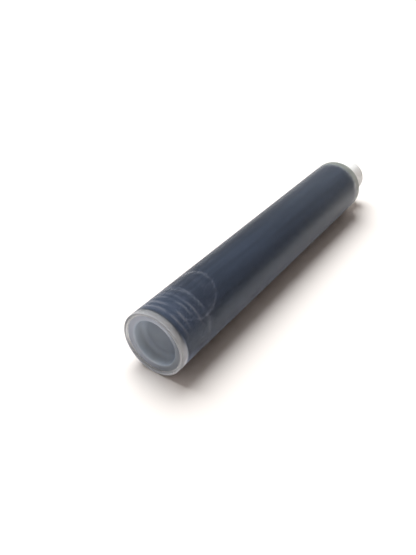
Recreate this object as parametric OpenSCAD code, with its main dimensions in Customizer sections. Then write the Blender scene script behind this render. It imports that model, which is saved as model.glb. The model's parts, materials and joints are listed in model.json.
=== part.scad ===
// A short ink cartridge for a writing or drawing pen: a soft, translucent tube of ink with a narrow neck,
// a ball that seals the neck until the pen pushes it in, and a ribbed plug that closes the tail.
// It lies on its side on the ground, with its axis along Y and its neck towards +Y.

/* [Barrel] */
// Outside diameter of the tube
barrel_d = 6; // [5.4:0.1:9]
// Thickness of the tube's wall
wall = 0.5; // [0.4:0.05:0.6]
// Length of the tube from the tail edge to the shoulder
barrel_l = 35.9; // [24:0.1:70]
// Radius of the rounded shoulder
shoulder_r = 0.75; // [0.3:0.05:0.9]
// Radius that rounds the tail edge outside
tail_edge_r = 0.08; // [0.05:0.01:0.12]
// Thickness of the thin lip that stands round the plug's flange
lip = 0.2; // [0.15:0.05:0.25]
// Thickness of the end wall between the chamber and the neck
end_wall = 1.2; // [0.8:0.1:1.6]
// Radius inside the chamber's far corner
chamber_corner_r = 0.5; // [0.2:0.05:0.8]

/* [Neck] */
// Outside diameter of the neck
neck_d = 4.1; // [3.9:0.1:4.5]
// Length of the neck beyond the shoulder
neck_l = 3; // [2.4:0.1:5]
// Radius that rounds the neck's tip
neck_tip_r = 0.25; // [0.1:0.05:0.4]
// Radius of the fillet at the neck's root
neck_root_r = 0.2; // [0.1:0.05:0.3]
// Diameter of the mouth that takes the pen's feed tube
mouth_d = 2.6; // [2.5:0.05:2.8]
// Depth of the mouth, from the tip to the ball's seat
mouth_depth = 1.9; // [1.2:0.1:2.2]
// Width of the chamfer at the mouth
mouth_chamfer = 0.15; // [0.05:0.05:0.25]

/* [Seal ball] */
// Diameter of the ball
ball_d = 2.2; // [1.8:0.05:2.4]
// Radial gap between the ball and its seat
ball_gap = 0.02; // [0.01:0.01:0.04]
// Depth of the ball below the inner end of the mouth
ball_below_mouth = 0.05; // [0.02:0.01:0.1]
// Gap between the ball and the surface of the ink under it
ball_to_ink = 0.05; // [0.02:0.01:0.2]
// Gap left between the pushed-in ball and the plug
ball_stop_gap = 0.3; // [0.1:0.1:1]
// How far the ball is pushed in, from 0 in its seat to 1 near the plug
ball_push = 0; // [0:0.05:1]

/* [Tail plug] */
// Length of the plug
plug_l = 4.2; // [3.8:0.1:6]
// Distance of the plug's outer face inside the tube's tail edge
plug_inset = 0.2; // [0.1:0.05:0.5]
// Length of the flange at the plug's outer end
flange_l = 0.5; // [0.3:0.05:0.8]
// Depth of the grooves between the plug's ribs
groove_depth = 0.2; // [0.1:0.05:0.25]
// Amount that the ribs and the flange press into the tube, on the radius
plug_press = 0.02; // [0.01:0.01:0.04]
// Distance from the tail edge to the middle of the narrow rib
narrow_rib_at = 1.95; // [1.5:0.05:2.1]
// Length of the narrow rib
narrow_rib_l = 0.25; // [0.15:0.05:0.3]
// Distance from the tail edge to the middle of the broad rib
broad_rib_at = 3; // [2.6:0.05:3.1]
// Length of the broad rib
broad_rib_l = 0.45; // [0.3:0.05:0.6]
// Length of the rib at the plug's inner end
end_rib_l = 0.4; // [0.3:0.05:0.5]
// Width of the lead chamfer on the end rib
lead_chamfer = 0.2; // [0.1:0.05:0.25]
// Thickness of the wall between the outer recess and the first groove
recess_wall = 0.2; // [0.15:0.05:0.5]
// Depth of the outer recess
recess_depth = 1.2; // [0.8:0.1:3.2]
// Radius inside the recess, where its floor meets its side
recess_corner_r = 0.35; // [0.1:0.05:0.5]
// Radius that rounds the mouth of the recess
recess_mouth_r = 0.2; // [0.1:0.05:0.25]

/* [Ink] */
// Radius of the air bubble that floats at the top of the ink, against the plug
bubble_r = 2.6; // [1.5:0.1:2.6]
// Height of the bubble's centre above the tube's axis
bubble_up = 1.75; // [1.6:0.05:2]
// Distance from the plug to the bubble's centre
bubble_along = 0.55; // [0.3:0.05:1]
// Angle by which the bubble leans to the -X side of the top
bubble_lean = 12; // [0:1:20]

/* [Hidden] */
$fn = 96;
overall_l = barrel_l + neck_l;
barrel_r = barrel_d / 2;
chamber_r = barrel_r - wall;
chamber_end = barrel_l - end_wall;
neck_r = neck_d / 2;
mouth_r = mouth_d / 2;
mouth_floor = overall_l - mouth_depth;
ball_r = ball_d / 2;
seat_r = ball_r + ball_gap;
ball_at = mouth_floor - ball_below_mouth - ball_r;
ink_top = ball_at - ball_r / 2;
plug_end = plug_inset + plug_l;
plug_r = chamber_r + plug_press;
flange_seat_r = barrel_r - lip;
groove_r = chamber_r - groove_depth;
recess_r = groove_r - recess_wall;
recess_end = plug_inset + recess_depth;
flange_end = plug_inset + flange_l;
narrow_rib = [narrow_rib_at - narrow_rib_l / 2, narrow_rib_at + narrow_rib_l / 2];
broad_rib = [broad_rib_at - broad_rib_l / 2, broad_rib_at + broad_rib_l / 2];
end_rib = [plug_end - end_rib_l, plug_end];
grooves = [[flange_end, narrow_rib[0]], [narrow_rib[1], broad_rib[0]], [broad_rib[1], end_rib[0]]];
ball_travel = ball_at - plug_end - ball_stop_gap - ball_r;
shoulder_round = min(shoulder_r, barrel_r - neck_r - neck_root_r);
// How far a cut runs past the face it opens
past = 1;

// Outlines are drawn as [distance from the axis, distance from the tail edge] and turned about the axis.
// This lays the turned shape down with its tail towards -Y, on the ground and centred on the origin.
module lay_down() {
    translate([0, -overall_l / 2, barrel_r]) rotate([-90, 0, 0]) children();
}

// What a round of radius r takes off the corner at p of an outline that lies towards -X and -Y of it.
module round_off(p, r) {
    translate([p[0] - r, p[1] - r]) difference() {
        square(2 * r);
        circle(r);
    }
}

// The same for a corner whose outline lies towards -X and +Y of it.
module round_off_low(p, r) {
    translate([0, 2 * p[1]]) mirror([0, 1]) round_off(p, r);
}

// A strip from the axis out to r, between two distances from the tail edge.
module strip(r, from, to) {
    translate([0, from]) square([r, to - from]);
}

// The space beside the neck, with the fillet at the neck's root left standing.
module beside_neck() {
    difference() {
        translate([neck_r, barrel_l]) square([barrel_r, neck_l + past]);
        translate([neck_r, barrel_l]) difference() {
            square(neck_root_r);
            translate([neck_root_r, neck_root_r]) circle(neck_root_r);
        }
    }
}

// The chamber's outline, from any distance inside the tube to its far wall.
module chamber(from) {
    difference() {
        strip(chamber_r, from, chamber_end);
        round_off([chamber_r, chamber_end], chamber_corner_r);
    }
}

module barrel() {
    color([0.72, 0.76, 0.8, 0.5]) lay_down() rotate_extrude() difference() {
        strip(barrel_r, 0, overall_l);
        round_off_low([barrel_r, 0], tail_edge_r);
        round_off([barrel_r, barrel_l], shoulder_round);
        beside_neck();
        round_off([neck_r, overall_l], neck_tip_r);
        strip(flange_seat_r, -past, flange_end);
        chamber(0);
        strip(seat_r, 0, mouth_floor);
        strip(mouth_r, mouth_floor, overall_l + past);
        polygon([
            [0, overall_l - mouth_chamfer],
            [mouth_r, overall_l - mouth_chamfer],
            [mouth_r + mouth_chamfer, overall_l],
            [mouth_r + mouth_chamfer, overall_l + past],
            [0, overall_l + past]
        ]);
    }
}

// The recess in the plug's outer face, with a rounded mouth and a rounded floor.
module recess() {
    difference() {
        strip(recess_r + recess_mouth_r, plug_inset - past, recess_end);
        translate([recess_r, plug_inset + recess_mouth_r]) square([2 * recess_mouth_r, recess_depth]);
        translate([recess_r + recess_mouth_r, plug_inset + recess_mouth_r]) circle(recess_mouth_r);
        round_off([recess_r, recess_end], recess_corner_r);
    }
}

module tail_plug() {
    color([0.8, 0.82, 0.84]) lay_down() rotate_extrude() difference() {
        union() {
            strip(flange_seat_r + plug_press, plug_inset, flange_end);
            strip(plug_r, flange_end, plug_end);
        }
        for (g = grooves) translate([groove_r, g[0]]) square([past, g[1] - g[0]]);
        polygon([
            [plug_r - lead_chamfer, plug_end],
            [plug_r, plug_end - lead_chamfer],
            [plug_r + past, plug_end - lead_chamfer],
            [plug_r + past, plug_end + past],
            [plug_r - lead_chamfer, plug_end + past]
        ]);
        recess();
    }
}

module seal_ball() {
    color([0.9, 0.93, 0.95]) lay_down()
        translate([0, 0, ball_at - ball_push * ball_travel]) sphere(ball_r);
}

module ink() {
    color([0.07, 0.09, 0.2]) lay_down() difference() {
        rotate_extrude() union() {
            chamber(plug_end);
            strip(seat_r, plug_end, ink_top);
        }
        translate([0, 0, ball_at]) sphere(ball_r + ball_to_ink);
        rotate([0, 0, -bubble_lean]) translate([0, -bubble_up, plug_end + bubble_along]) sphere(bubble_r);
    }
}

// The ink that was caught in the plug's grooves as the plug was pressed in.
module trapped_ink() {
    color([0.05, 0.07, 0.18]) lay_down() rotate_extrude()
        for (g = grooves) translate([groove_r, g[0]]) square([chamber_r - groove_r, g[1] - g[0]]);
}

barrel();
tail_plug();
seal_ball();
ink();
trapped_ink();
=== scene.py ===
# %% [markdown]
# # A short ink cartridge
#
# The object is a sealed tube of ink for a drawing or writing pen, lying on a white table. It has three
# solid pieces: a soft, milky tube with a narrow neck, a ribbed plug with a shallow recess that closes the
# tail, and a ball that seals the neck until the pen pushes it in. The fourth thing to see is the ink,
# which fills the tube and is also caught between the plug's ribs.
#
# The design, with its sizes and its one moving joint, is already made and is loaded here as a fixed
# frame. This file only makes it look real. Lengths come from that frame wherever it lists them, so
# nothing has to be fitted later, and the few that it doesn't list repeat the design's own values.

# %% Load the frame
import json
import math

import bmesh
import bpy
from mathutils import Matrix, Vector


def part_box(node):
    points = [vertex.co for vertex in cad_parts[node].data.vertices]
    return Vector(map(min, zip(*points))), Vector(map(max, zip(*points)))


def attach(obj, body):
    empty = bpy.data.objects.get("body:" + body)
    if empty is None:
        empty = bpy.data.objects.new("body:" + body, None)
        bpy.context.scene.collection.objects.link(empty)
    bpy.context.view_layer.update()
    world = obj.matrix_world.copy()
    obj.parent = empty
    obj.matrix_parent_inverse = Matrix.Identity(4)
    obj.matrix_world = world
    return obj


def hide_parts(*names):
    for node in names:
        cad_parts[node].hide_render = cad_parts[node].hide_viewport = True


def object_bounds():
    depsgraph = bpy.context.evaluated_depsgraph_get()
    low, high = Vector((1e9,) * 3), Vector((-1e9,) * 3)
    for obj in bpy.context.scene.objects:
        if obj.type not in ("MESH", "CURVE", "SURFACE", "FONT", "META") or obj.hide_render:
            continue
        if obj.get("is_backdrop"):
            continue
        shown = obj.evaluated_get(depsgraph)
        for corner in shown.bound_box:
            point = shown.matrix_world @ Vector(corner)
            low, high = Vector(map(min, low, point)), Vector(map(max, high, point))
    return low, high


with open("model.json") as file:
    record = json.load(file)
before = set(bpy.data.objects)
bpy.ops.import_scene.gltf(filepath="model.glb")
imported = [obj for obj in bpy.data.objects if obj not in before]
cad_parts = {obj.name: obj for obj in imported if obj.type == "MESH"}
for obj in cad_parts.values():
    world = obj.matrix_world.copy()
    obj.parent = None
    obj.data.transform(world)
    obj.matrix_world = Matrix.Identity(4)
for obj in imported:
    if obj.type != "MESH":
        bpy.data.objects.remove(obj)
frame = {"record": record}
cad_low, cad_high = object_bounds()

MM = 0.001
print("the whole object, in mm:", [round(side / MM, 2) for side in cad_high - cad_low])

# %% [markdown]
# ## Reading the sizes
#
# The axis of the cartridge runs along Y, from the tail to the neck. All the pieces are turned shapes, so
# a place on any of them is two numbers: how far along the axis, and how far out from it. The boxes of the
# nodes give most of these. The mounts in the record give the round faces that a box can't show, such as
# the bore of the neck.

# %% Sizes from the frame
mounts = {mount["name"]: mount for mount in frame["record"]["mounts"]}


def mount_radius(name):
    return mounts[name]["dims"]["r_mm"] * MM


def mount_ends(name):
    middle, half = mounts[name]["pos_m"][1], mounts[name]["dims"]["length_mm"] * MM / 2
    return middle - half, middle + half


tail_y, tip_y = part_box("barrel")[0].y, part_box("barrel")[1].y
barrel_r = mount_radius("barrel_outside")
axis_z = cad_low.z + barrel_r
neck_r, mouth_r, recess_r = (mount_radius(name) for name in ("neck_outside", "neck_bore", "tail_recess"))
plug_y, plug_end_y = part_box("tail_plug")[0].y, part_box("tail_plug")[1].y
flange_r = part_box("tail_plug")[1].x
chamber_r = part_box("trapped_ink")[1].x
ball_r = (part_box("seal_ball")[1].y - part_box("seal_ball")[0].y) / 2
ball_y = (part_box("seal_ball")[1].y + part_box("seal_ball")[0].y) / 2
print("wall", round((barrel_r - chamber_r) / MM, 3), "mm, ball", round(2 * ball_r / MM, 2), "mm across")

# %% Sizes that the frame doesn't list
neck_root_r = 0.2 * MM
end_wall = 1.2 * MM
chamber_corner_r = 0.5 * MM
recess_corner_r = 0.35 * MM
groove_depth = 0.2 * MM
plug_press = 0.02 * MM
plug_lead_chamfer = 0.2 * MM
shoulder_y = mount_ends("neck_outside")[0] - neck_root_r
chamber_end_y = shoulder_y - end_wall
mouth_floor_y = mount_ends("neck_bore")[0]
recess_end_y = mount_ends("tail_recess")[1] + recess_corner_r
flange_end_y, end_rib_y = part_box("trapped_ink")[0].y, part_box("trapped_ink")[1].y
narrow_rib, broad_rib = (1.95, 0.25), (3, 0.45)  # the middle and the length of each, in mm from the tail
ribs_y = [[tail_y + (middle + side * long / 2) * MM for side in (-1, 1)]
          for middle, long in (narrow_rib, broad_rib)]
groove_edges = [flange_end_y, *ribs_y[0], *ribs_y[1], end_rib_y]
grooves_y = list(zip(groove_edges[::2], groove_edges[1::2]))
ball_gap, ball_to_ink = 0.02 * MM, 0.05 * MM
seat_r = ball_r + ball_gap
ink_tip_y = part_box("ink")[1].y
flange_seat_r = flange_r - plug_press
print("grooves at, in mm from the tail:", [[round((y - tail_y) / MM, 2) for y in pair] for pair in grooves_y])

# %% [markdown]
# ## Tools for turned shapes
#
# A lathe shape can be made in three ways. You can draw its outline and spin it, you can put a Screw
# modifier on the outline, or you can start from a cylinder and work on its end faces: inset a face to
# step inwards, extrude it to step along the axis, and bevel the rings that should be round. The last way
# is the nearest to how the moulder's drawing reads, each step is one real feature, and the rings stay
# evenly spaced all round. It is used for every turned piece here, so the few moves that it needs are made
# into small helpers first.

# %% Helpers for turned shapes
AROUND = 192
NEAR = 0.02 * MM


def start_fresh():
    if bpy.context.object and bpy.context.object.mode != "OBJECT":
        bpy.ops.object.mode_set(mode="OBJECT")
    bpy.ops.object.select_all(action="DESELECT")


def cylinder_along_y(name, radius, from_y, to_y):
    """A closed cylinder on the cartridge's axis, left in edit mode."""
    start_fresh()
    bpy.ops.mesh.primitive_cylinder_add(
        vertices=AROUND, radius=radius, depth=to_y - from_y, end_fill_type="NGON",
        location=(0, (from_y + to_y) / 2, axis_z), rotation=(-math.pi / 2, 0, 0))
    piece = bpy.context.object
    piece.name = piece.data.name = name
    bpy.ops.object.transform_apply(location=True, rotation=True, scale=True)
    bpy.ops.object.mode_set(mode="EDIT")
    return piece


def off_axis(point):
    return math.hypot(point.x, point.z - axis_z)


def pick(piece, kind, test):
    """In edit mode, selects only what passes the test. kind is FACE or EDGE, as in Blender's select modes."""
    bpy.ops.mesh.select_mode(type=kind)
    bpy.ops.mesh.select_all(action="DESELECT")
    mesh = bmesh.from_edit_mesh(piece.data)
    chosen = [part for part in (mesh.faces if kind == "FACE" else mesh.edges) if test(part)]
    for part in chosen:
        part.select_set(True)
    mesh.select_flush_mode()
    bmesh.update_edit_mesh(piece.data)
    return len(chosen)


def pick_end(piece, y, towards):
    """Selects the end face at y that is centred on the axis and faces towards +Y (1) or -Y (-1)."""
    return pick(piece, "FACE", lambda face: abs(face.calc_center_median().y - y) < NEAR
                and off_axis(face.calc_center_median()) < NEAR and face.normal.y * towards > 0.9)


def pick_ring(piece, y, radius):
    """Selects the ring of edges at y whose points are all radius away from the axis."""
    return pick(piece, "EDGE", lambda edge: all(
        abs(v.co.y - y) < NEAR and abs(off_axis(v.co) - radius) < NEAR for v in edge.verts))


def step_in(width):
    bpy.ops.mesh.inset(thickness=width, depth=0)


def step_along(length):
    bpy.ops.mesh.extrude_region_move(TRANSFORM_OT_translate={"value": (0, length, 0)})


def round_ring(piece, y, radius, width, segments):
    """Rounds one ring of edges, or cuts a plain chamfer if segments is 1."""
    found = pick_ring(piece, y, radius)
    bpy.ops.mesh.bevel(offset=width, segments=segments, profile=0.5, affect="EDGES", clamp_overlap=False)
    return found


def finish_piece(piece, angle=30):
    """Merges doubled points, turns the faces outward and leaves edit mode with smooth shading."""
    bpy.ops.mesh.select_all(action="SELECT")
    bpy.ops.mesh.remove_doubles(threshold=0.0005 * MM)
    bpy.ops.mesh.normals_make_consistent(inside=False)
    bpy.ops.object.mode_set(mode="OBJECT")
    bpy.ops.object.shade_smooth_by_angle(angle=math.radians(angle))
    mesh = piece.data
    print(piece.name, "has", len(mesh.vertices), "points and", len(mesh.polygons), "faces")


# %% [markdown]
# ## The tube
#
# The tube is one moulding of soft, milky polyethylene: barrel, shoulder, end wall and neck. It begins as
# a plain cylinder as long as the barrel. The far end face is inset and extruded to raise the neck, then
# inset and pushed back in to bore the mouth and the ball's seat. The near end face is pushed in twice: a
# short step inside a thin lip, where the plug's flange sits, and then almost the whole way through, which
# hollows the chamber. The two blind faces that then meet are deleted, so the neck opens into the chamber,
# and the rings are rounded last because a bevel moves the points around it.

# %% Model the tube
tube = cylinder_along_y("barrel_tube", barrel_r, tail_y, shoulder_y)
pick_end(tube, shoulder_y, 1)
step_in(barrel_r - neck_r)
step_along(tip_y - shoulder_y)
step_in(neck_r - mouth_r)
step_along(mouth_floor_y - tip_y)
step_in(mouth_r - seat_r)
step_along(chamber_end_y - mouth_floor_y)
bpy.ops.mesh.delete(type="FACE")
pick_end(tube, tail_y, -1)
step_in(barrel_r - flange_seat_r)
step_along(flange_end_y - tail_y)
step_in(flange_seat_r - chamber_r)
step_along(chamber_end_y - flange_end_y)
step_in(chamber_r - seat_r)
bpy.ops.mesh.delete(type="FACE")
bpy.ops.mesh.select_all(action="SELECT")
bpy.ops.mesh.remove_doubles(threshold=0.005 * MM)

# %% Round the tube's edges
tail_edge_r = mount_ends("barrel_outside")[0] - tail_y
shoulder_r = shoulder_y - mount_ends("barrel_outside")[1]
neck_tip_r = tip_y - mount_ends("neck_outside")[1]
mouth_chamfer = tip_y - mount_ends("neck_bore")[1]
for y, radius, width, segments in (
        (tail_y, barrel_r, tail_edge_r, 4),
        (tail_y, flange_seat_r, 0.05 * MM, 3),
        (shoulder_y, barrel_r, shoulder_r, 14),
        (shoulder_y, neck_r, neck_root_r, 6),
        (tip_y, neck_r, neck_tip_r, 8),
        (tip_y, mouth_r, mouth_chamfer, 1),
        (mouth_floor_y, seat_r, 0.03 * MM, 2),
        (chamber_end_y, chamber_r, chamber_corner_r, 8),
        (chamber_end_y, seat_r, 0.05 * MM, 2)):
    edges = round_ring(tube, y, radius, width, segments)
    print("rounded", edges, "edges at", round((y - tail_y) / MM, 2), "mm")
finish_piece(tube)

# %% [markdown]
# ## The tail plug
#
# The plug is a stopper pressed into the tail, with a shallow round recess in its outer face. Raised ribs
# grip the tube, and ink is caught in the grooves between them and shows as dark bands. The outline could
# be drawn and spun, but the grooves are quicker to cut from a plain cylinder: its side is bisected at
# every groove edge, and the faces in between are pushed towards the axis.

# %% Model the plug
plug_r = chamber_r + plug_press
plug = cylinder_along_y("ribbed_tail_plug", flange_r, plug_y, flange_end_y)
pick_end(plug, flange_end_y, 1)
step_in(flange_r - plug_r)
step_along(plug_end_y - flange_end_y)
for y in groove_edges[1:]:
    bpy.ops.mesh.select_all(action="SELECT")
    bpy.ops.mesh.bisect(plane_co=(0, y, 0), plane_no=(0, 1, 0))
for low, high in grooves_y:
    pick(plug, "FACE", lambda face: low < face.calc_center_median().y < high and abs(face.normal.y) < 0.1)
    bpy.ops.mesh.extrude_region_shrink_fatten(
        TRANSFORM_OT_shrink_fatten={"value": -(groove_depth + plug_press)})
pick_end(plug, plug_y, -1)
step_in(flange_r - recess_r)
step_along(recess_end_y - plug_y)

# %% Round the plug's edges
groove_r = chamber_r - groove_depth
round_ring(plug, plug_y, recess_r, mount_ends("tail_recess")[0] - plug_y, 6)
round_ring(plug, recess_end_y, recess_r, recess_corner_r, 8)
round_ring(plug, plug_end_y, plug_r, plug_lead_chamfer, 1)
round_ring(plug, plug_y, flange_r, 0.05 * MM, 3)
for y in groove_edges[1:]:
    round_ring(plug, y, plug_r, 0.03 * MM, 2)
    round_ring(plug, y, groove_r, 0.05 * MM, 3)
finish_piece(plug)

# %% [markdown]
# ## The ink
#
# Ink wets the wall, and a wetted wall has no air behind it. If the ink stopped exactly on the wall, a ray
# inside the plastic could slip between the two and bounce off, and the tube would look silvery. So the
# ink reaches a hundredth of a millimetre into the plastic all round. At the far end it runs up to the
# seal ball, and its tip is hollowed in a few steps, each inset and pushed in, which follow the ball's
# underside to a few hundredths of a millimetre.
#
# An air bubble floats at the top, against the plug. Its inside can't be seen, because a film of ink
# clings to the wall over it. Only its oval edge shows, as a pale line where the curved edge of the ink
# leaves the wall. So the near stretch of the column is divided finely, and the points near the oval are
# sunk a little towards the axis, which leaves a sliver of air there that catches the light.

# %% Model the ink column
SOAK = 0.01 * MM
ink = cylinder_along_y("ink_column", chamber_r + SOAK, plug_end_y, chamber_end_y + SOAK)
pick_end(ink, chamber_end_y + SOAK, 1)
step_in(chamber_r - seat_r)
step_along(ink_tip_y - chamber_end_y - SOAK)
round_ring(ink, chamber_end_y + SOAK, chamber_r + SOAK, chamber_corner_r, 8)

# %% Divide the ink finely where the bubble is
bubble_length = 3.1 * MM
bubble_half_angle = math.radians(68)
bubble_lean = math.radians(-8)
bubble_rings = 64
bubble_zone_y = plug_end_y + bubble_length * 1.05
bpy.ops.mesh.select_all(action="SELECT")
bpy.ops.mesh.bisect(plane_co=(0, bubble_zone_y, 0), plane_no=(0, 1, 0))
pick(ink, "EDGE", lambda edge: abs(edge.verts[0].co.y - edge.verts[1].co.y) > NEAR
     and (edge.verts[0].co.y + edge.verts[1].co.y) / 2 < bubble_zone_y)
bpy.ops.mesh.subdivide(number_cuts=bubble_rings)
print("the bubble is", round(bubble_length / MM, 2), "mm long, in", bubble_rings, "rings")

# %% Hollow the ink under the ball
hollow_r, hollow_steps = ball_r + ball_to_ink, 8
rim_angle = math.acos((ball_y - ink_tip_y) / hollow_r)
from_r, from_y = seat_r, ink_tip_y
for step in range(hollow_steps, 0, -1):
    angle = rim_angle * step / hollow_steps
    ring_r, ring_y = hollow_r * math.sin(angle), ball_y - hollow_r * math.cos(angle)
    pick_end(ink, from_y, 1)
    step_in(from_r - ring_r)
    step_along(ring_y - from_y)
    from_r, from_y = ring_r, ring_y
print("the ink's tip is hollowed in", hollow_steps, "steps,", round((ink_tip_y - from_y) / MM, 2), "mm deep")

# %% Sink the bubble's edge into the ink
bubble_edge_depth = 0.05 * MM
bubble_edge_width = 0.035  # as a share of the oval
mesh = bmesh.from_edit_mesh(ink.data)
for point in mesh.verts:
    if point.co.y > bubble_zone_y or off_axis(point.co) < chamber_r / 2:
        continue
    angle = math.atan2(point.co.x, point.co.z - axis_z) - bubble_lean
    oval = math.hypot(angle / bubble_half_angle, (point.co.y - plug_end_y) / bubble_length)
    edge = math.exp(-((oval - 1) / bubble_edge_width) ** 2)
    sunk = 1 - bubble_edge_depth / chamber_r * edge
    point.co.x *= sunk
    point.co.z = axis_z + (point.co.z - axis_z) * sunk
bmesh.update_edit_mesh(ink.data)
finish_piece(ink, 60)

# %% [markdown]
# ## The ink caught by the plug
#
# Each groove of the plug holds a thin ring of ink. A ring is a short cylinder whose two end faces are
# inset, emptied and bridged to each other. The three rings are joined into one piece.

# %% Model the caught ink
def ink_ring(name, low, high):
    ring = cylinder_along_y(name, chamber_r + SOAK, low - SOAK, high + SOAK)
    for y, towards in ((high + SOAK, 1), (low - SOAK, -1)):
        pick_end(ring, y, towards)
        step_in(groove_depth + 2 * SOAK)
        bpy.ops.mesh.delete(type="FACE")
    pick(ring, "EDGE", lambda edge: all(off_axis(v.co) < chamber_r - groove_depth / 2 for v in edge.verts))
    bpy.ops.mesh.bridge_edge_loops()
    finish_piece(ring)
    return ring


rings = [ink_ring(f"caught_ink_{i + 1}", *pair) for i, pair in enumerate(grooves_y)]
start_fresh()
for ring in rings:
    ring.select_set(True)
bpy.context.view_layer.objects.active = rings[0]
bpy.ops.object.join()
caught_ink = rings[0]
caught_ink.name = caught_ink.data.name = "caught_ink_rings"
print("joined", len(rings), "rings of caught ink")

# %% [markdown]
# ## The seal ball
#
# A ball made from a cube has evenly sized faces and no poles, so it shows no pinched highlights. The cube
# is divided, and its points are then pulled out onto a sphere.

# %% Model the ball
start_fresh()
bpy.ops.mesh.primitive_cube_add(size=2 * ball_r, location=(0, ball_y, axis_z))
ball = bpy.context.object
ball.name = ball.data.name = "glass_seal_ball"
bpy.ops.object.mode_set(mode="EDIT")
bpy.ops.mesh.subdivide(number_cuts=23)
bpy.ops.transform.tosphere(value=1)
points = bmesh.from_edit_mesh(ball.data).verts
points.ensure_lookup_table()
reach = points[0].co.length
bpy.ops.transform.resize(value=(ball_r / reach,) * 3, center_override=(0, ball_y, axis_z))
bpy.ops.object.mode_set(mode="OBJECT")
bpy.ops.object.transform_apply(location=True, rotation=True, scale=True)
bpy.ops.object.shade_smooth()
print("the ball was", round(reach / MM, 3), "mm in radius before it was fitted to", round(ball_r / MM, 3))

# %% [markdown]
# ## Writing materials as sums
#
# A material's pattern is arithmetic on places: how far along, how far round, how rough here. Wiring each
# sum by hand hides what it says. The small class below holds one output socket, and Python's own
# operators on it add the Math nodes, so a pattern reads as a formula. Colours are mixed by a Mix node,
# because a Math node would turn them grey.

# %% A socket that can be added and multiplied
class Wire:
    """One output socket of a material's nodes."""

    def __init__(self, paint, socket):
        self.paint, self.socket = paint, socket

    def maths(self, operation, *others):
        """One Math node on this wire and any others."""
        return self.paint.node("ShaderNodeMath", {"operation": operation}, dict(enumerate([self, *others])))

    def __add__(self, other):
        return self.maths("ADD", other)

    def __sub__(self, other):
        return self.maths("SUBTRACT", other)

    def __rsub__(self, other):
        return self * -1 + other

    def __mul__(self, other):
        return self.maths("MULTIPLY", other)

    def __truediv__(self, other):
        return self.maths("DIVIDE", other)

    __radd__, __rmul__ = __add__, __mul__

    def near(self, place, width):
        """1 at place, falling smoothly to 0 at width from it on either side."""
        return (self - place).maths("ABSOLUTE").ramp(0, width, 1, 0)

    def ramp(self, low, high, start=0, end=1):
        """Goes smoothly from start at low to end at high, and stays there."""
        settings = {"interpolation_type": "SMOOTHSTEP"}
        return self.paint.node("ShaderNodeMapRange", settings, {0: self, 1: low, 2: high, 3: start, 4: end})


class Paint:
    """A new material on a Principled BSDF. Sockets that are the same all over are given as keywords."""

    def __init__(self, name, **constants):
        self.material = bpy.data.materials.new(name)
        self.material.use_nodes = True
        self.tree = self.material.node_tree
        self.surface = self.tree.nodes["Principled BSDF"]
        for socket, value in constants.items():
            self.surface.inputs[socket.replace("_", " ")].default_value = value

    def node(self, kind, settings=None, values=None, output=0):
        """Adds a node, sets it, feeds its sockets with numbers, colours or wires, and returns one output."""
        made = self.tree.nodes.new(kind)
        for setting, value in (settings or {}).items():
            setattr(made, setting, value)
        for socket, value in (values or {}).items():
            if isinstance(value, Wire):
                self.tree.links.new(value.socket, made.inputs[socket])
            else:
                made.inputs[socket].default_value = value
        return Wire(self, made.outputs[output])

    def place(self, stretch=(1, 1, 1)):
        """The place on the object, in millimetres, squeezed or stretched along each axis."""
        spot = self.node("ShaderNodeTexCoord", output="Object")
        return self.node("ShaderNodeMapping", {}, {0: spot, "Scale": [s / MM for s in stretch]})

    def noise(self, size, stretch=(1, 1, 1), detail=3, roughness=0.5):
        """Cloudy noise with lumps about size millimetres across, from 0 to 1."""
        return self.node("ShaderNodeTexNoise", {}, {"Vector": self.place(stretch), "Scale": 1 / size,
                                                    "Detail": detail, "Roughness": roughness})

    def spot(self):
        """The place on the object as three wires in mm: sideways, along from the tail edge, and upwards."""
        whole = self.node("ShaderNodeTexCoord", output="Object")
        x, y, z = [self.node("ShaderNodeSeparateXYZ", {}, {0: whole}, output=axis) / MM for axis in "XYZ"]
        return x, y - tail_y / MM, z - axis_z / MM

    def mix(self, first, second, share):
        """A colour from first to second."""
        return self.node("ShaderNodeMix", {"data_type": "RGBA"}, {0: share, 6: first, 7: second}, output=2)

    def bump(self, height, distance, strength=1.0):
        return self.node("ShaderNodeBump", {}, {"Height": height, "Distance": distance, "Strength": strength})

    def feed(self, **wires):
        """Feeds sockets of the surface with patterns, and returns the material."""
        for socket, wire in wires.items():
            self.tree.links.new(wire.socket, self.surface.inputs[socket.replace("_", " ")])
        return self.material

    def veil(self, share, **constants):
        """Lays a second finish over the surface, as thick as share says."""
        under = self.surface
        self.surface = self.tree.nodes.new("ShaderNodeBsdfPrincipled")
        for socket, value in constants.items():
            self.surface.inputs[socket.replace("_", " ")].default_value = value
        both = self.node("ShaderNodeMixShader", {}, {0: share, 1: Wire(self, under.outputs[0]),
                                                     2: Wire(self, self.surface.outputs[0])})
        self.tree.links.new(both.socket, self.tree.nodes["Material Output"].inputs["Surface"])


# %% [markdown]
# ## Soft, milky polyethylene
#
# The tube's wall lets almost all light through but blurs it a little, because soft polyethylene is cloudy
# and its moulded skin is finely matt. A see-through film would be the cheap way to show it, but real
# bending of light matters here: it makes the ink look as wide as the tube. So the wall is true glass-like
# transmission, and a second, white and matt finish is mixed into it as milk.
#
# The milk is thin along the barrel and thicker where the light meets more plastic: at the tail and in the end
# wall behind the shoulder. Some terms are painted light and shade. More milk, with a paler colour, along the
# low side, under the plug and on the shaded side of the flange band is painted glow. Thinner milk on the
# window side is painted shade, and over the far half and the neck the milk follows the side the light comes
# from. Over the plug and over the flange it is a little thicker on top. Each such place is one term of a sum,
# so it can be made stronger or weaker by itself. The plug's ribs rub the ink off the wall in broken arcs,
# and these are a little more milk too. The wall is rough enough to blur such fine lines away if they were
# drawn on the plug.

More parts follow.
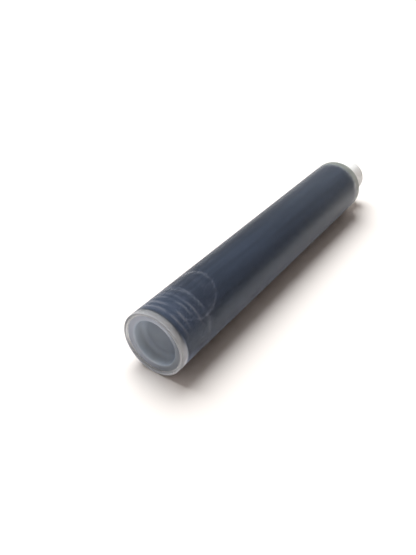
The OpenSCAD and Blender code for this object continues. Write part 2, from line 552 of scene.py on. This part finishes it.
# %% Places on the tube's wall
shoulder = (shoulder_y - tail_y) / MM
end_wall_from = shoulder - 1.7
smears = ((1.3, 0.22, 1), (1.95, 0.26, 1), (2.7, 0.2, 1), (3.25, 0.24, 1), (4.25, 0.26, 1.2))


def towards_shade(x, height):
    """How far a place lies towards the tube's low right side, away from the window, in mm."""
    return x * 0.78 - height * 0.63


def rib_smears(paint, depth, height):
    """Broken arcs over the plug's ribs, each with its place, its half width and its strength."""
    wobble = depth + paint.noise(1.6, detail=2) * 0.3 - 0.15
    arcs = sum(wobble.near(place, width) * strength for place, width, strength in smears)
    broken = paint.noise(1.1, detail=4).ramp(0.32, 0.6, 0.15, 1)
    return arcs * broken * height.ramp(-0.4, 1.6)


# %% The light that goes through the wall
def wall_tint(paint, depth):
    cloud = paint.noise(2.5, detail=2)
    barrel = paint.mix((0.80, 0.85, 0.92, 1), (0.92, 0.94, 0.96, 1), cloud.ramp(0.3, 0.7))
    tint = paint.mix((0.97, 0.98, 0.99, 1), barrel, depth.ramp(0.3, 0.8))
    tint = paint.mix(tint, (0.78, 0.83, 0.80, 1), depth.ramp(shoulder - 1.3, shoulder - 0.8))
    return paint.mix(tint, (0.97, 0.97, 0.96, 1), depth.ramp(shoulder, shoulder + 0.4))


# %% How much milk is in the wall, with painted light and shade
def milk_and_painted_light_in_wall(paint, depth, height, shade, marks, flange_band_painted_glow):
    streaks = paint.noise(0.35, stretch=(1, 0.03, 1), detail=3)
    # Thinner towards the window side, which darkens that side: painted shade.
    barrel = streaks.ramp(0.3, 0.75, 0.07, 0.105) * shade.ramp(-3, -0.8, 0.55, 1)
    # More along the low side and its shaded edge: painted glow of light scattered and reflected there.
    low_side_painted_glow = height.ramp(0, -2.2, 0, 0.105) + shade.ramp(2.4, 3, 0, 0.14)
    # A faint haze over the far half, left off the shaded side: painted light.
    far_haze_painted_light = depth.ramp(16, 34, 0, 0.035) * shade.ramp(1.6, 0.8)
    over_plug = depth.ramp(1.8, 5, 0.045, 0) * depth.ramp(0.6, 0.8) * height.ramp(0, 2)
    # Much more low down near the tail, under the plug: painted glow.
    under_plug_painted_glow = depth.ramp(0.6, 2.8, 0.5, 0) * height.ramp(0.3, -2)
    over_flange = depth.ramp(0.7, 0.55, 0, 0.16) * height.ramp(0.8, 2.6)
    tail_edge = depth.ramp(0.2, 0, 0, 0.2)
    end_wall_and_neck = depth.ramp(end_wall_from, end_wall_from + 0.4, 0, 0.42)
    # On the neck, more on the window side and less on the shaded side: painted light and shade.
    neck = depth.ramp(shoulder, shoulder + 0.3) * shade.ramp(-0.5, 1.8, 0.38, -0.2)
    return (barrel + marks * 0.12 + low_side_painted_glow + far_haze_painted_light + over_plug + under_plug_painted_glow
            + over_flange + flange_band_painted_glow * 0.6 + tail_edge + end_wall_and_neck + neck)


# %% The milk's colour, with painted glow
def milk_colour_and_painted_glow(paint, depth, height, marks, flange_band_painted_glow):
    white = paint.mix((0.40, 0.52, 0.78, 1), (0.42, 0.52, 0.71, 1), depth.ramp(12, 30))
    white = paint.mix(white, (0.36, 0.39, 0.36, 1), depth.ramp(end_wall_from, end_wall_from + 0.4))
    # Paler towards the low side: painted glow of light from the table.
    white = paint.mix(white, (0.52, 0.55, 0.60, 1), height.ramp(0, -2.2))
    white = paint.mix((0.60, 0.62, 0.66, 1), white, depth.ramp(0.6, 0.8))
    # Paler on the shaded side of the flange band: painted glow.
    white = paint.mix(white, (0.74, 0.76, 0.82, 1), flange_band_painted_glow)
    white = paint.mix(white, (0.52, 0.56, 0.68, 1), marks)
    return paint.mix(white, (1, 0.99, 0.97, 1), depth.ramp(shoulder - 0.1, shoulder + 0.2))


# %% The tube's material
def milky_wall():
    paint = Paint("milky_polyethylene", Transmission_Weight=1.0, IOR=1.45, Specular_Tint=(0.72, 0.84, 1.0, 1))
    x, depth, height = paint.spot()
    shade = towards_shade(x, height)
    flow = paint.noise(0.9, stretch=(1, 0.06, 1), detail=4)
    skin = paint.bump(flow, 0.01 * MM, 0.4)
    paint.feed(Base_Color=wall_tint(paint, depth), Roughness=0.34 + flow * 0.1, Normal=skin)
    marks = rib_smears(paint, depth, height)
    # The band over the flange, on its shaded side, gets more and paler milk: painted glow.
    flange_band_painted_glow = depth.ramp(0.25, 0.5) * depth.ramp(0.95, 0.75) * shade.ramp(0.6, 2.2)
    paint.veil(milk_and_painted_light_in_wall(paint, depth, height, shade, marks, flange_band_painted_glow), IOR=1.45, Roughness=0.5)
    return paint.feed(Base_Color=milk_colour_and_painted_glow(paint, depth, height, marks, flange_band_painted_glow))


# %% [markdown]
# ## The frosted plug
#
# The plug is whiter than the tube because it is thick. Light spreads inside it, which subsurface
# scattering shows: shadows in its recess are soft, and its edges glow a little. Behind its flange there
# is no ink, so the flange is its palest part. Further in, the ink all round it darkens it, and the colour
# follows that. Light and shade are painted into its colour as well: its face darkens towards the lower
# right, and in the recess the floor and wall darken towards the upper right while the wall is painted
# lighter towards the lower left.

# %% Inside the recess and outside it, with painted light and shade
def recess_colour_and_shade(paint, reach, painted_shade_side):
    # The floor darkens towards the upper right: painted shade.
    floor = paint.mix((0.36, 0.41, 0.475, 1), (0.22, 0.255, 0.31, 1), painted_shade_side)
    # The wall is light towards the lower left and dark towards the upper right: painted light and shade.
    wall = paint.mix((0.72, 0.80, 0.90, 1), (0.27, 0.33, 0.41, 1), painted_shade_side)
    return paint.mix(floor, wall, reach.ramp(1.5, 2.12))


def flange_colour_and_shade(paint, reach, painted_shade_side):
    # The face darkens towards the lower right: painted shade.
    face = paint.mix((0.42, 0.46, 0.54, 1), (0.24, 0.27, 0.31, 1), painted_shade_side)
    mottle = paint.noise(0.35, detail=4).ramp(0.4, 0.6)
    rim = paint.mix((0.76, 0.78, 0.81, 1), (0.97, 0.97, 0.98, 1), mottle)
    return paint.mix(face, rim, reach.ramp(2.6, 2.78))


# %% The plug's material
def frosted_plug():
    paint = Paint("frosted_plug", IOR=1.5, Specular_IOR_Level=0.3, Subsurface_Weight=0.85,
                  Subsurface_Radius=(1, 1, 1), Subsurface_Scale=0.6 * MM)
    x, depth, height = paint.spot()
    reach = (x * x + height * height).maths("SQRT")
    cloud = paint.noise(0.8, detail=3)
    smear = paint.noise(0.5, detail=4).ramp(0.35, 0.6)
    inked = paint.mix((0.008, 0.011, 0.020, 1), (0.016, 0.020, 0.034, 1), smear)
    # Painted shade: the face darkens towards the lower right, the recess towards the upper right.
    flange = flange_colour_and_shade(paint, reach, (x - height * 0.5 + cloud * 0.8).ramp(0.5, 2.8))
    outside = paint.mix(flange, inked, depth.ramp(0.62, 0.7))
    inside = recess_colour_and_shade(paint, reach, (x + height + cloud * 1.6).ramp(-2, 2.2))
    colour = paint.mix(inside, outside, reach.ramp(2.12, 2.25))
    grain = paint.bump(paint.noise(0.06, detail=2), 0.01 * MM, 0.4)
    return paint.feed(Base_Color=colour, Roughness=0.38 + cloud * 0.15, Normal=grain)


# %% [markdown]
# ## Blue-black ink
#
# Ink in bulk is nearly black with a blue cast. Its surface against the plastic reflects almost nothing,
# because the two bend light nearly alike, so its mirror-like shine is turned down. Over the bubble only a
# thin film of it clings to the wall, and that is cloudy and paler. The sliver of air along the bubble's
# edge would be caught by a very fine render only, so the edge gets a painted highlight as well: a pale
# line of colour.

# %% The ink's material
def blue_black():
    paint = Paint("blue_black_ink", Roughness=0.35, Specular_IOR_Level=0.08)
    x, depth, height = paint.spot()
    cloud = paint.noise(3, detail=2)
    deep = paint.mix((0.005, 0.008, 0.017, 1), (0.008, 0.012, 0.024, 1), cloud.ramp(0.3, 0.7))
    thin = paint.noise(0.8, detail=3).ramp(0.45, 0.75)
    film = paint.mix((0.010, 0.012, 0.026, 1), (0.14, 0.14, 0.18, 1), thin)
    round_share = (x.maths("ARCTAN2", height) - bubble_lean) / bubble_half_angle
    along_share = (depth - (plug_end_y - tail_y) / MM) / (bubble_length / MM)
    oval = (round_share * round_share + along_share * along_share).maths("SQRT")
    ink_colour = paint.mix(film, deep, oval.ramp(0.85, 1))
    # A pale line along the bubble's oval: painted highlight.
    edge = oval.near(1, 0.045) * paint.noise(1.2, detail=3).ramp(0.3, 0.6, 0.6, 1)
    return paint.feed(Base_Color=paint.mix(ink_colour, (0.36, 0.37, 0.44, 1), edge))


# %% [markdown]
# ## Clear glass
#
# The seal ball is glass or a hard clear plastic. Light goes through it and bends, and a trace of ink
# leaves it slightly smeared, so its roughness varies a little from place to place.

# %% The ball's material
def clear_glass():
    paint = Paint("clear_glass", Transmission_Weight=1.0, IOR=1.5)
    smear = paint.noise(0.7, detail=2)
    colour = paint.mix((0.93, 0.97, 0.97, 1), (0.97, 0.99, 0.99, 1), smear)
    return paint.feed(Base_Color=colour, Roughness=0.01 + smear * 0.04)


# %% [markdown]
# ## Dressing the frame
#
# Each modelled piece takes the place of its plain design solid and rides on the same moving body. The ball
# is alone on its body, so it slides when the pen pushes it in.

# %% Dress the pieces
for piece, node, slot, body, material in (
        (tube, "barrel", "translucent_tube", "cartridge", milky_wall()),
        (plug, "tail_plug", "frosted_plug", "cartridge", frosted_plug()),
        (ink, "ink", "blue_black_ink", "cartridge", blue_black()),
        (caught_ink, "trapped_ink", "blue_black_ink", "cartridge", blue_black()),
        (ball, "seal_ball", "clear_ball", "ball", clear_glass())):
    piece.data.materials.clear()
    piece.data.materials.append(material)
    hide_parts(node)
    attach(piece, body)
    print(piece.name, "stands for", node, "on", body, "in", material.name)

# %% [markdown]
# ## Table, light and camera
#
# The table is white and so brightly lit that it is pure white except where the tube shades it. The light
# is one wide soft lamp from the upper left and behind. It lights matt surfaces only: in shine and seen
# through the wall it would draw a hard bright stripe along the tube, which soft plastic in a room's light
# doesn't have.
#
# The tube mirrors the whole room, so the surround isn't even. It is brightest and neutral towards the
# window, and darkens and warms towards the other side, as a room does. The direction's dot product with
# the way to the window gives both.

# %% The table
start_fresh()
bpy.ops.mesh.primitive_circle_add(vertices=64, radius=0.6, fill_type="NGON", location=(0, 0, cad_low.z))
table = bpy.context.object
table.name = table.data.name = "white_table"
bpy.ops.object.transform_apply(location=True)
table.data.materials.append(Paint("white_table", Base_Color=(0.90, 0.84, 0.80, 1), Roughness=0.7).material)
table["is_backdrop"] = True
print("the table is", round(table.dimensions.x, 2), "m across")

# %% The surround
world = bpy.data.worlds.new("pale_surround")
bpy.context.scene.world = world
world.use_nodes = True
sky = world.node_tree
towards_window = sky.nodes.new("ShaderNodeVectorMath")
towards_window.operation = "DOT_PRODUCT"
window_side = (-0.9, 0.1, 0.42)
towards_window.inputs[1].default_value = window_side
share = sky.nodes.new("ShaderNodeMapRange")
share.inputs["From Min"].default_value = -0.8
strength = sky.nodes.new("ShaderNodeMapRange")
strength.inputs["To Min"].default_value = 0.02
strength.inputs["To Max"].default_value = 0.5
colour = sky.nodes.new("ShaderNodeMix")
colour.data_type = "RGBA"
colour.inputs[6].default_value = (1.0, 0.76, 0.62, 1)
colour.inputs[7].default_value = (0.98, 0.99, 1.0, 1)
for start, end in (
        (sky.nodes.new("ShaderNodeTexCoord").outputs["Generated"], towards_window.inputs[0]),
        (towards_window.outputs["Value"], share.inputs["Value"]),
        (share.outputs["Result"], strength.inputs["Value"]),
        (share.outputs["Result"], colour.inputs[0]),
        (strength.outputs["Result"], sky.nodes["Background"].inputs["Strength"]),
        (colour.outputs[2], sky.nodes["Background"].inputs["Color"])):
    sky.links.new(start, end)
print("the surround has", len(sky.nodes), "nodes")


# %% The lamp
def soft_light(name, place, size, power, colour):
    start_fresh()
    bpy.ops.object.light_add(type="AREA", location=place)
    lamp = bpy.context.object
    lamp.name = lamp.data.name = name
    lamp.data.shape, lamp.data.size = "DISK", size
    lamp.data.energy, lamp.data.color = power, colour
    lamp.visible_glossy, lamp.visible_transmission = False, False
    lamp.rotation_euler = (-Vector(place)).to_track_quat("-Z", "Y").to_euler()


window_place = (-0.165, 0.077, 0.356)
soft_light("window", window_place, 0.34, 2.4, (0.96, 1.0, 1.02))
print("the window is", round(Vector(window_place).length, 2), "m away")

# %% [markdown]
# The camera looks down along the tube from behind its tail and to its right. Its place is given in barrel
# radii from the foot of the tail's edge, and its direction by two angles.

# %% The camera
turn_left, tip_down = math.radians(34.57), math.radians(34.91)
camera_place = Vector((7.97 * barrel_r, tail_y - 8.91 * barrel_r, cad_low.z + 11.5 * barrel_r))
level = math.cos(tip_down)
look = Vector((-math.sin(turn_left) * level, math.cos(turn_left) * level, -math.sin(tip_down)))
camera_data = bpy.data.cameras.new("camera")
camera_data.lens = 37.9
camera_data.clip_start, camera_data.clip_end = 1 * MM, 5
camera = bpy.data.objects.new("camera", camera_data)
bpy.context.collection.objects.link(camera)
camera.location = camera_place
camera.rotation_euler = look.to_track_quat("-Z", "Y").to_euler()
bpy.context.scene.camera = camera
bpy.context.scene.view_settings.view_transform = "Standard"
print("the camera is", round((camera_place - Vector((0, tail_y, axis_z))).length / MM, 1), "mm from the tail")

# %% Check the size
low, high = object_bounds()
past = [a - b for a, b in zip([*high, *cad_low], [*cad_high, *low])]
print("outside the design by, in mm:", [round(side / MM, 3) for side in past])
